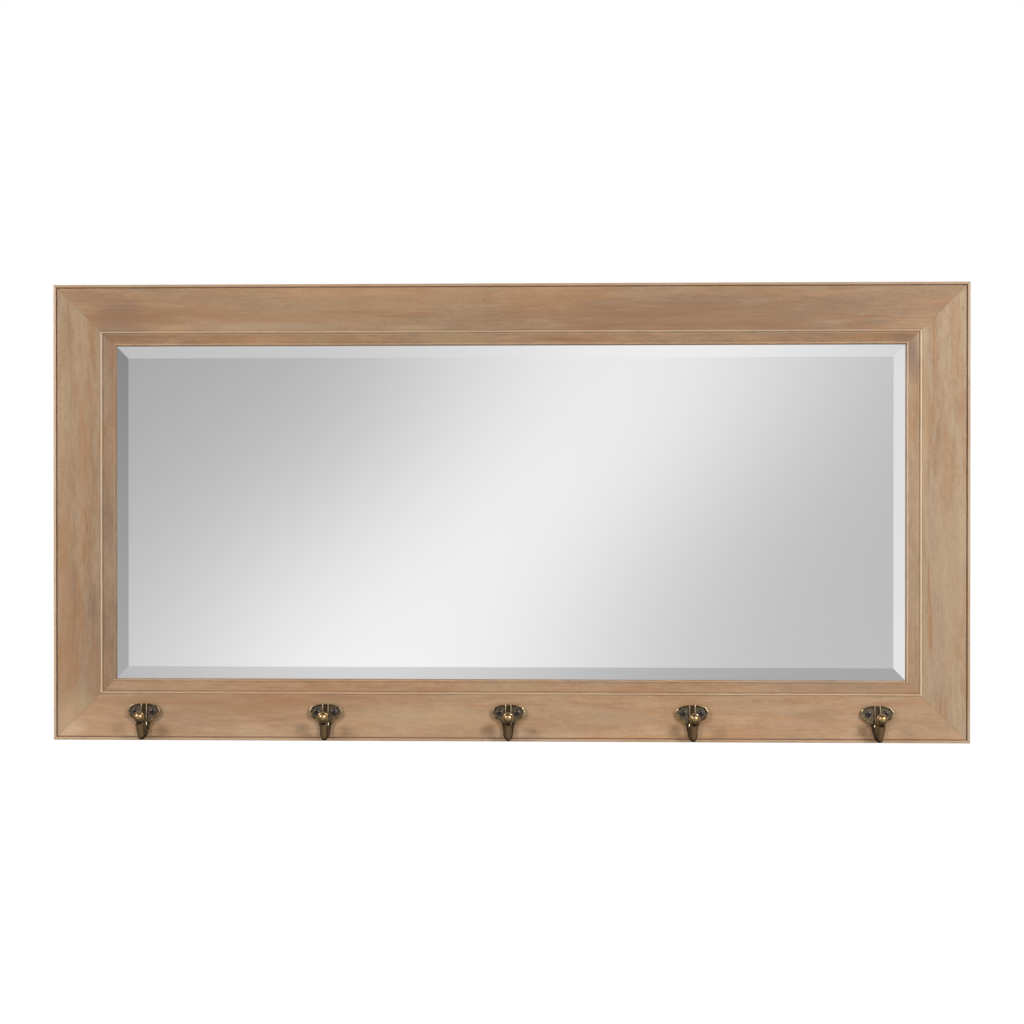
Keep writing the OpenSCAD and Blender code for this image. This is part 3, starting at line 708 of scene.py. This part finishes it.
def casting(settings):
    """The hook as it comes from the mould: the solid hook with its facets and sharp edges melted away."""
    seat = hook_seat(settings, HOOKS[0])
    shell = bmesh.new()
    shell.from_mesh(NODES[HOOKS[0]].data)
    bmesh.ops.remove_doubles(shell, verts=shell.verts, dist=0.002 * MM)
    shell.transform(seat.inverted())
    rough = bpy.data.meshes.new("hook_rough")
    shell.to_mesh(rough)
    shell.free()
    carrier = bpy.data.objects.new("hook_rough", rough)
    bpy.context.collection.objects.link(carrier)
    remesh = carrier.modifiers.new("skin", "REMESH")
    remesh.mode, remesh.voxel_size = "VOXEL", settings.grain
    smooth = carrier.modifiers.new("soften", "SMOOTH")
    smooth.factor, smooth.iterations = 0.5, settings.soften
    graph = bpy.context.evaluated_depsgraph_get()
    mesh = bpy.data.meshes.new_from_object(carrier.evaluated_get(graph))
    bpy.data.objects.remove(carrier)
    if len(mesh.polygons) < FEWEST_FACES:
        raise RuntimeError("the hook's casting came out empty: its solid isn't closed")
    mesh.name = "hook_casting"
    mesh.shade_smooth()
    edge_map(mesh, rounds=5)
    return mesh


class MIRROR_OT_frame(bpy.types.Operator):
    """Finish the four sides of the frame in washed wood"""

    bl_idname = "mirror.frame"
    bl_label = "Wooden frame"

    def execute(self, context):
        sizes, colours = context.scene.mirror_moulding, context.scene.mirror_wood
        for name, look in RAILS.items():
            dress(name, washed_wood("washed_" + name, sizes, colours, look))
        return {"FINISHED"}


class MIRROR_OT_glass(bpy.types.Operator):
    """Silver the bevelled glass"""

    bl_idname = "mirror.glass"
    bl_label = "Mirror glass"

    def execute(self, context):
        dress("mirror_glass", silvered_glass(context.scene.mirror_glass))
        return {"FINISHED"}


class MIRROR_OT_hooks(bpy.types.Operator):
    """Cast the five hooks in brass and give them a dark patina"""

    bl_idname = "mirror.hooks"
    bl_label = "Cast hooks"

    def execute(self, context):
        settings = context.scene.mirror_hooks
        mesh = casting(settings)
        mesh.materials.append(antique_brass(settings))
        for node_name in HOOKS:
            piece = bpy.data.objects.new("cast_" + node_name, mesh)
            context.collection.objects.link(piece)
            piece.matrix_world = hook_seat(settings, node_name)
            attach(piece, "mirror")
            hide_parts(node_name)
        return {"FINISHED"}


class MIRROR_OT_screws(bpy.types.Operator):
    """Blacken the screws of the hooks"""

    bl_idname = "mirror.screws"
    bl_label = "Hook screws"

    def execute(self, context):
        finish = black_screw(context.scene.mirror_hooks)
        for name in HOOKS:
            dress(name.replace("hook_", "hook_screws_"), finish)
        return {"FINISHED"}


class MIRROR_OT_back(bpy.types.Operator):
    """Finish the backing board, the fasteners, the hangers and the bumpers"""

    bl_idname = "mirror.back"
    bl_label = "Back and hangers"

    def execute(self, context):
        colours = context.scene.mirror_back
        dress("backing_board", hardboard(colours))
        dress("wall_bumpers", bumper_rubber(colours))
        zinc = zinc_plate(colours)
        for name in (
            "glazing_tabs", "corner_nails", "left_hanger_strap", "right_hanger_strap",
            "left_d_ring", "right_d_ring", "hanger_screws",
        ):
            dress(name, zinc)
        return {"FINISHED"}


# ---------- studio ----------


def studio_world(ambient):
    """White to the camera, and for polished things a grey studio with one soft leaning band of light."""
    world = bpy.data.worlds.new("studio")
    bpy.context.scene.world = world
    r = Recipe(world)
    # the direction of a ray, each part of it from -1 to 1
    side, back, up = r.split(r.node("ShaderNodeTexCoord").out("Generated"))
    # the band of light stands upright high and low, and leans across the middle
    lean = r.maths("TANH", up / 0.09) * 0.078
    away = (side - lean) / 0.135
    band = r.maths("EXPONENT", away * away * -1)
    # a grey that falls off upwards, lighter at the top and the right, darker at the foot and the left
    high, low = r.rise(up, 0.1, 0.4), r.rise(up * -1, 0.1, 0.4)
    left, right = r.rise(side * -1, 0.14, 0.48), r.rise(side, 0.27, 0.42)
    grey = 0.51 - up * 0.3 + high * 0.22 - low * (side * 0.15 + 0.2) + right * 0.28
    grey = grey - left * (0.19 - up * 0.07)
    grey = grey + r.rise(side * -1, 0.03, 0.16) * (0.012 - up * 0.6) * (1 - high) * (1 - low)
    grey = grey + band * (0.38 - high * 0.1 - low * 0.15)
    # beyond what the flat glass can show, the studio falls off into the dark
    beside = r.rise(back, -0.75, -0.1)
    above = r.rise(abs(up), 0.42, 0.75)
    grey = grey * (1 - beside * 0.75) * (1 - above * 0.6)
    seen = r.node("ShaderNodeLightPath")
    reflected = r.maths("MAXIMUM", seen.out("Is Glossy Ray"), seen.out("Is Transmission Ray"))
    strength = ambient * (1 - reflected) + grey * reflected
    to_camera = seen.out("Is Camera Ray")
    strength = strength * (1 - to_camera) + to_camera
    glow = r.node("ShaderNodeBackground", None, Color=(1, 1, 1), Strength=strength)
    r.node("ShaderNodeOutputWorld", None, glow)


def lamp(name, power, turn, rise, distance, size):
    """A soft lamp that points at the middle of the frame, turned round it and raised by so many degrees."""
    data = bpy.data.lights.new(name, "AREA")
    data.shape, data.size, data.energy = "DISK", size, power
    made = bpy.data.objects.new(name, data)
    bpy.context.collection.objects.link(made)
    turn, rise = math.radians(turn), math.radians(rise)
    away = Vector((math.sin(turn) * math.cos(rise), -math.cos(turn) * math.cos(rise), math.sin(rise)))
    made.location = MIDDLE + away * distance
    made.rotation_mode = "QUATERNION"
    made.rotation_quaternion = away.to_track_quat("Z", "Y")
    return made


def pale_floor(studio):
    """A matt floor that looks white to the camera and keeps the mirror's shadow."""
    foot = (0, 0, FRAME_LOW.z - studio.floor_drop)
    bpy.ops.mesh.primitive_plane_add(size=studio.floor_size, location=foot)
    floor = bpy.context.active_object
    floor.name = "floor"
    floor.visible_glossy = False
    made, r = material("pale_floor")
    glow = r.node("ShaderNodeLightPath").out("Is Camera Ray") * studio.floor_glow
    matt = r.node("ShaderNodeBsdfDiffuse", None, Color=(studio.floor_tone,) * 3)
    light = r.node("ShaderNodeEmission", None, Color=(1, 1, 1), Strength=glow)
    r.node("ShaderNodeOutputMaterial", None, r.node("ShaderNodeAddShader", None, matt, light))
    floor.data.materials.append(made)


def front_camera(studio):
    """The camera in front of the mirror, a little to the right of its middle."""
    data = bpy.data.cameras.new("camera")
    data.lens, data.sensor_width = studio.lens, FILM_WIDTH
    data.shift_x, data.shift_y = studio.shift
    camera = bpy.data.objects.new("camera", data)
    bpy.context.collection.objects.link(camera)
    camera.location = studio.eye
    camera.rotation_euler = (math.pi / 2 + studio.pitch, 0, studio.yaw)
    bpy.context.scene.camera = camera


class MIRROR_OT_studio(bpy.types.Operator):
    """Set up the pale floor, the lamps and the camera"""

    bl_idname = "mirror.studio"
    bl_label = "Studio"

    def execute(self, context):
        studio = context.scene.mirror_studio
        studio_world(studio.ambient)
        front = lamp("front_lamp", studio.front_power, turn=0, rise=8, distance=3.2, size=2.4)
        lamp("key_lamp", studio.key_power, turn=41, rise=20, distance=1.9, size=0.4)
        lamp("fill_lamp", studio.fill_power, turn=-48, rise=23, distance=2.1, size=0.55)
        side = lamp("side_lamp", studio.side_power, turn=-55, rise=10, distance=3.0, size=2.2)
        lamp("rear_lamp", studio.rear_power, turn=200, rise=38, distance=2.0, size=1.2)
        # the wide lamps would show as discs in the glass
        front.visible_glossy = side.visible_glossy = False
        pale_floor(studio)
        front_camera(studio)
        context.scene.view_settings.view_transform = "Standard"
        return {"FINISHED"}


# ---------- add-on ----------


class MIRROR_PT_panel(bpy.types.Panel):
    """Sizes, colours and steps of the mirror"""

    bl_idname = "MIRROR_PT_panel"
    bl_label = "Mirror with Hooks"
    bl_space_type = "VIEW_3D"
    bl_region_type = "UI"
    bl_category = "Mirror"

    def draw(self, context):
        for operator in OPERATORS:
            self.layout.operator(operator.bl_idname)
        for name, group in SETTINGS.items():
            box = self.layout.box()
            box.label(text=group.__doc__)
            for setting in group.__annotations__:
                box.prop(getattr(context.scene, name), setting)


SETTINGS = {
    "mirror_moulding": MouldingSizes,
    "mirror_wood": WoodColours,
    "mirror_hooks": HookSettings,
    "mirror_glass": GlassSettings,
    "mirror_back": BackColours,
    "mirror_studio": StudioSettings,
}
OPERATORS = (
    MIRROR_OT_frame, MIRROR_OT_glass, MIRROR_OT_hooks, MIRROR_OT_screws, MIRROR_OT_back, MIRROR_OT_studio,
)
CLASSES = (*SETTINGS.values(), *OPERATORS, MIRROR_PT_panel)


def register():
    for cls in CLASSES:
        bpy.utils.register_class(cls)
    for name, group in SETTINGS.items():
        setattr(bpy.types.Scene, name, PointerProperty(type=group))


def unregister():
    for name in SETTINGS:
        delattr(bpy.types.Scene, name)
    for cls in reversed(CLASSES):
        bpy.utils.unregister_class(cls)


def main():
    register()
    bpy.ops.mirror.frame()
    bpy.ops.mirror.glass()
    bpy.ops.mirror.hooks()
    bpy.ops.mirror.screws()
    bpy.ops.mirror.back()
    bpy.ops.mirror.studio()


if __name__ == "__main__":
    main()
